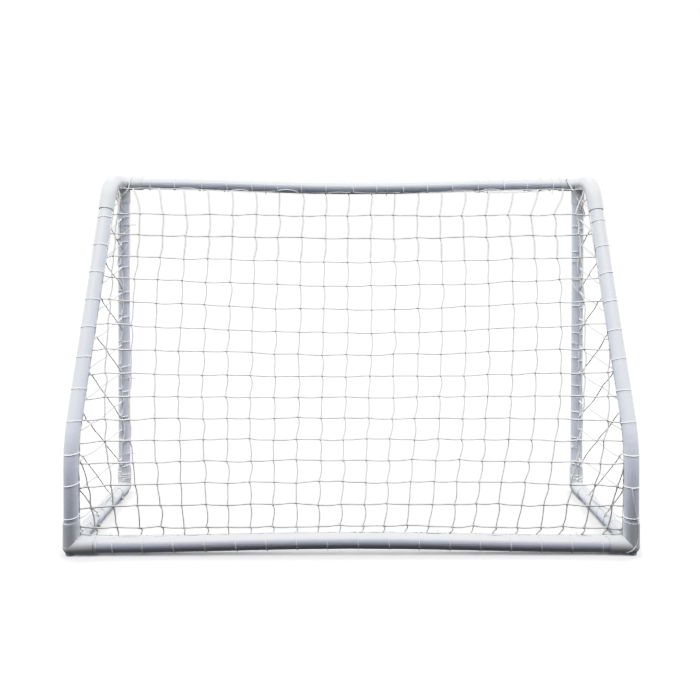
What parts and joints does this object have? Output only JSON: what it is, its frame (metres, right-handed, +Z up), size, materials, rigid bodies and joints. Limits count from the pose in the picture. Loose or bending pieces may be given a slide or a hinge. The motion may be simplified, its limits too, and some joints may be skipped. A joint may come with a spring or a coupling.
{
  "type": "soccer goal frame",
  "caption": "Free-standing junior soccer goal: push-fit round plastic tube frame with open front, sloping stanchions and a laced square-mesh net at back and sides.",
  "frame": {"origin": "on the ground under the middle of the goal, centre of the bounding box at its base", "axes": "+X along the crossbar, +Y out through the goal mouth, +Z up"},
  "size_m": [1.832, 0.502, 1.2405],
  "materials": {
    "tube": "smooth extruded white uPVC",
    "fitting": "moulded white uPVC, satin",
    "net": "knotted white polyethylene twine",
    "cord": "white lacing cord",
    "tie": "white nylon"
  },
  "bodies": {
    "root": {"crossbar": "tube", "rear_ground_bar": "tube", "post_left": "tube", "post_right": "tube", "stanchion_left": "tube", "stanchion_right": "tube", "side_ground_bar_left": "tube", "side_ground_bar_right": "tube", "top_corner_left": "fitting", "top_corner_right": "fitting", "rear_corner_left": "fitting", "rear_corner_right": "fitting", "front_elbow_left": "fitting", "front_elbow_right": "fitting", "back_net": "net", "side_net_left": "net", "side_net_right": "net", "lace_crossbar": "cord", "lace_rear_bar": "cord", "lace_post_left": "cord", "lace_post_right": "cord", "lace_side_bar_left": "cord", "lace_side_bar_right": "cord", "lace_stanchion_left": "cord", "lace_stanchion_right": "cord", "corner_cord_left": "cord", "corner_cord_right": "cord", "tie_crossbar_1": "tie", "tie_crossbar_2": "tie", "tie_crossbar_3": "tie", "tie_crossbar_4": "tie", "tie_post_left_1": "tie", "tie_post_left_2": "tie", "tie_post_left_3": "tie", "tie_post_left_4": "tie", "tie_post_right_1": "tie", "tie_post_right_2": "tie", "tie_post_right_3": "tie", "tie_side_left_1": "tie", "tie_side_left_2": "tie", "tie_side_right_1": "tie"}
  },
  "joints": []
}
